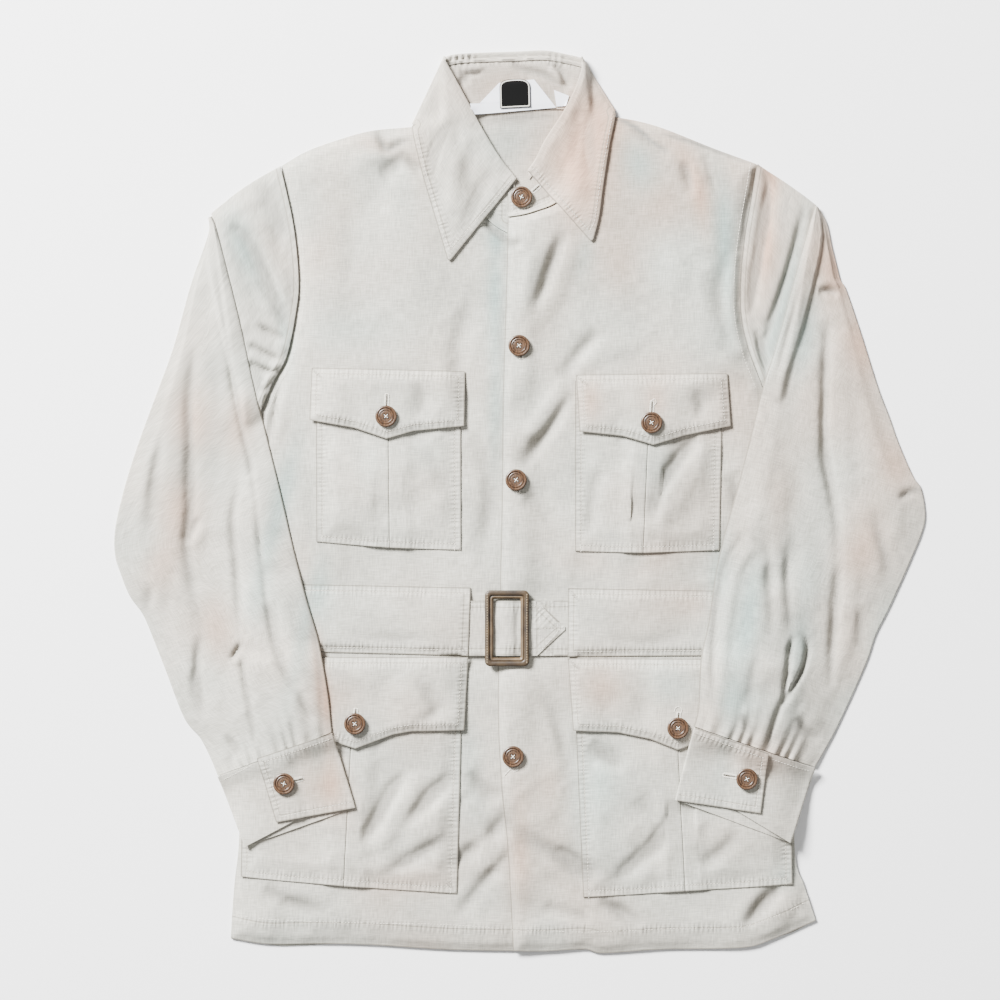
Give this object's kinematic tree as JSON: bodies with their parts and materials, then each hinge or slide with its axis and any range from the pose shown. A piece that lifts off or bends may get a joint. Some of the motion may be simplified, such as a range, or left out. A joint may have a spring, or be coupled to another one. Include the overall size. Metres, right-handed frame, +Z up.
{
  "type": "safari jacket",
  "caption": "Belted safari jacket laid flat, with a pointed collar, pleated patch pockets under buttoned flaps, a waist casing with a buckled belt, and buttoned cuffs.",
  "frame": {"origin": "on the surface that the jacket lies on, under the middle of its box", "axes": "+Y from the hem to the collar, +X to the wearer's left, which is the right as seen from above, +Z up out of the fronts"},
  "size_m": [0.7706, 0.8582, 0.0171],
  "materials": {
    "cloth": "pale stone poplin",
    "leather": "brown leather, satin",
    "label_cloth": "smooth white woven tape",
    "dark_label": "black woven tape",
    "button": "brown horn-look resin, satin"
  },
  "bodies": {
    "root": {"back_panel": "cloth", "front_left": "cloth", "front_right": "cloth", "collar_band": "cloth", "collar_leaf": "cloth", "sleeve_left": "cloth", "sleeve_right": "cloth", "sleeve_head_left": "cloth", "sleeve_head_right": "cloth", "cuff_left": "cloth", "cuff_right": "cloth", "chest_pocket_left": "cloth", "chest_pocket_right": "cloth", "chest_flap_left": "cloth", "chest_flap_right": "cloth", "hip_pocket_left": "cloth", "hip_pocket_right": "cloth", "hip_flap_left": "cloth", "hip_flap_right": "cloth", "waist_casing_left": "cloth", "waist_casing_right": "cloth", "belt_free_end": "cloth", "belt_fixed_end": "cloth", "buckle": "leather", "neck_label_backing": "label_cloth", "care_label": "label_cloth", "neck_label": "dark_label", "button_neck": "button", "button_front_1": "button", "button_front_2": "button", "button_front_3": "button", "button_chest_left": "button", "button_chest_right": "button", "button_hip_left": "button", "button_hip_right": "button", "button_cuff_left": "button", "button_cuff_right": "button"}
  },
  "joints": []
}
